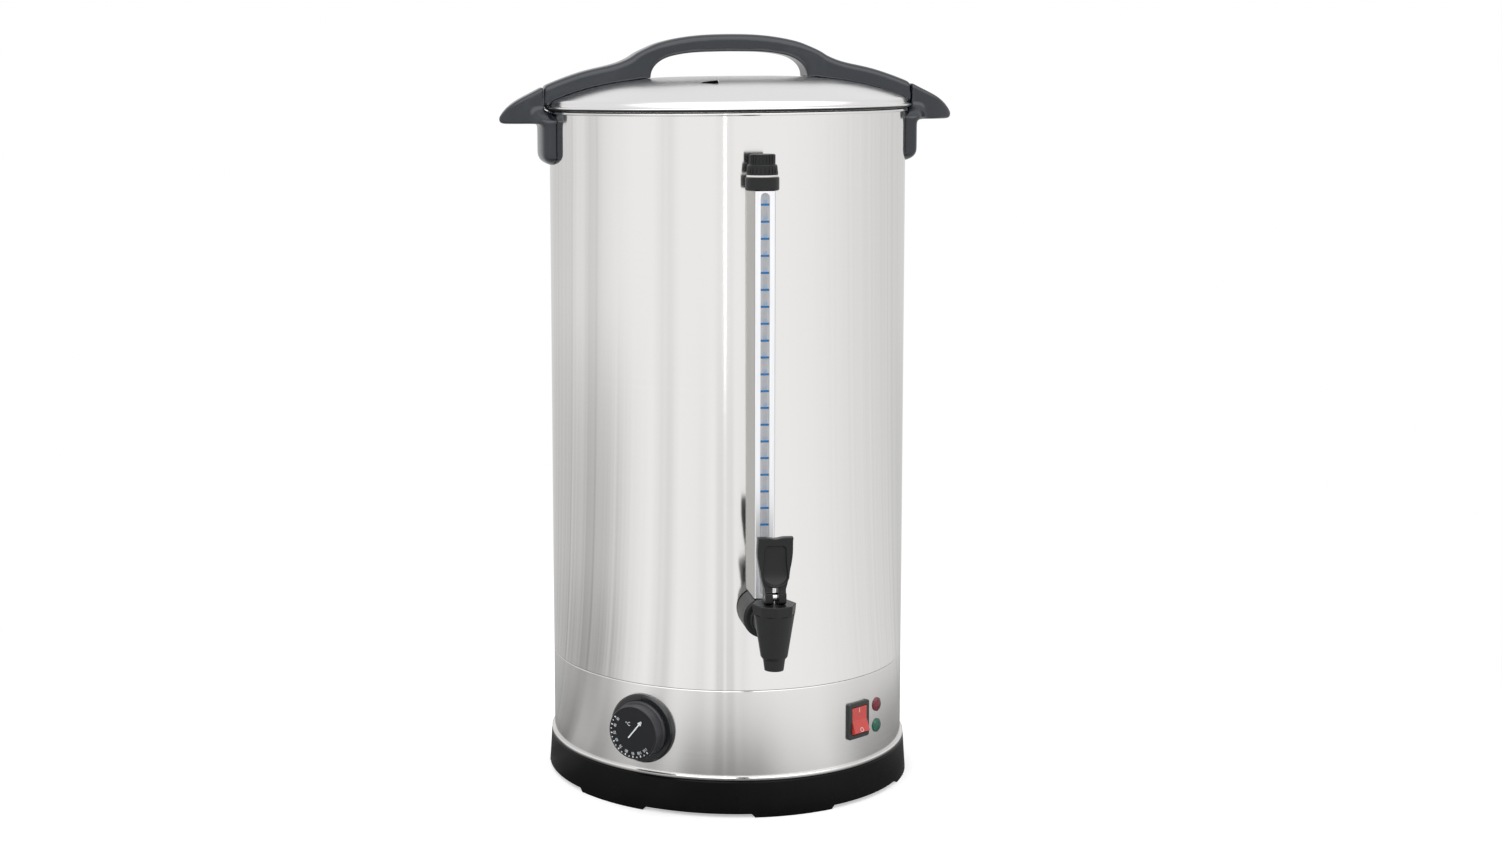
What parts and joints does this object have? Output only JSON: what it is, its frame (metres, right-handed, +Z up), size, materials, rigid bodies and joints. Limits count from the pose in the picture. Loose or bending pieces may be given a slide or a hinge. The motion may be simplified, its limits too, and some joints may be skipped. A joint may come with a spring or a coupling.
{
  "type": "hot water urn",
  "caption": "Round stainless steel hot water urn with a domed lid, arched lid handle, side handles, sight gauge, lever tap, dial thermostat and rocker switch.",
  "frame": {"origin": "centre of the circle of feet, on the surface the urn stands on", "axes": "+Z up along the tank's axis, -Y towards the tap and sight gauge, X along the two side handles"},
  "size_m": [0.394, 0.4168, 0.6419],
  "materials": {
    "polished_steel": "bright polished",
    "brushed_steel": "brushed",
    "plated_steel": "zinc plated",
    "aluminium": "cast",
    "brass": "bright",
    "black_gloss": "gloss",
    "black_matt": "matt moulded",
    "slate_gloss": "gloss",
    "red_translucent": "translucent",
    "lamp_red": "translucent",
    "lamp_green": "translucent",
    "white_plastic": "matt",
    "silicone": "translucent white",
    "clear_plastic": "clear",
    "glass": "clear",
    "copper": "drawn"
  },
  "bodies": {
    "urn": {"base_ring": "black_gloss", "bottom_plate": "plated_steel", "bottom_plate_screws": "plated_steel", "tie_rods": "plated_steel", "tie_rod_nuts": "plated_steel", "base_band": "brushed_steel", "tank": "polished_steel", "heat_spreader": "aluminium", "heating_element": "plated_steel", "boil_dry_cutout": "black_matt", "thermostat_body": "plated_steel", "thermostat_screws": "plated_steel", "capillary_tube": "copper", "terminal_block": "white_plastic", "knob_bezel": "black_gloss", "switch_housing": "black_matt", "switch_terminals": "brass", "lamp_red": "lamp_red", "lamp_green": "lamp_green", "lamp_nuts": "plated_steel", "cord_gland": "black_matt", "gland_nut": "black_matt", "side_handle_right": "slate_gloss", "side_handle_left": "slate_gloss", "side_handle_screws": "plated_steel", "gauge_base_fitting": "black_matt", "gauge_base_gasket": "silicone", "gauge_channel": "brushed_steel", "gauge_window": "clear_plastic", "gauge_tube": "glass", "gauge_tube_seals": "silicone", "gauge_top_fitting": "black_matt", "gauge_top_gasket": "silicone", "gauge_top_nut": "plated_steel", "gauge_cap_seal": "white_plastic", "tap_body": "black_matt", "tap_shank_washer": "silicone", "tap_shank_nut": "plated_steel", "tap_bonnet": "black_matt", "tap_spring": "plated_steel"},
    "lid": {"lid_shell": "polished_steel", "lid_handle": "slate_gloss", "lid_handle_washers": "silicone", "lid_handle_screws": "plated_steel"},
    "gauge_cap": {"gauge_cap": "black_matt"},
    "knob": {"thermostat_knob": "black_matt", "thermostat_shaft": "plated_steel"},
    "rocker": {"rocker": "red_translucent"},
    "tap_stem": {"tap_stem": "plated_steel", "tap_seat_cup": "silicone"},
    "tap_lever": {"tap_lever": "black_matt", "tap_lever_pin": "plated_steel"}
  },
  "joints": [
    {"name": "lid_lift", "type": "slide", "parent": "urn", "child": "lid", "axis": [0, 0, 1], "range_m": [0, 0.15]},
    {"name": "gauge_cap_lift", "type": "slide", "parent": "urn", "child": "gauge_cap", "axis": [0, 0, 1], "range_m": [0, 0.03]},
    {"name": "knob_turn", "type": "hinge", "parent": "urn", "child": "knob", "pos_m": [-0.0945, -0.12911, 0.0688], "axis": [0.5906, 0.807, 0], "range_deg": [0, 230]},
    {"name": "rocker_tilt", "type": "hinge", "parent": "urn", "child": "rocker", "pos_m": [0.09051, -0.12143, 0.0697], "axis": [0.8018, 0.5976, 0], "range_deg": [0, 20]},
    {"name": "tap_stem_lift", "type": "slide", "parent": "urn", "child": "tap_stem", "axis": [0, 0, 1], "range_m": [0, 0.00279], "stiffness_N_per_m": 600, "springref_m": -0.0045, "deforming": ["tap_spring"]},
    {"name": "tap_lever_tilt", "type": "hinge", "parent": "tap_stem", "child": "tap_lever", "pos_m": [0, -0.231, 0.20365], "axis": [1, 0, 0], "range_deg": [0, 40]}
  ],
  "couplings": [
    {"joint": "tap_lever_tilt", "follows": "tap_stem_lift", "rad_per_m": 250}
  ]
}
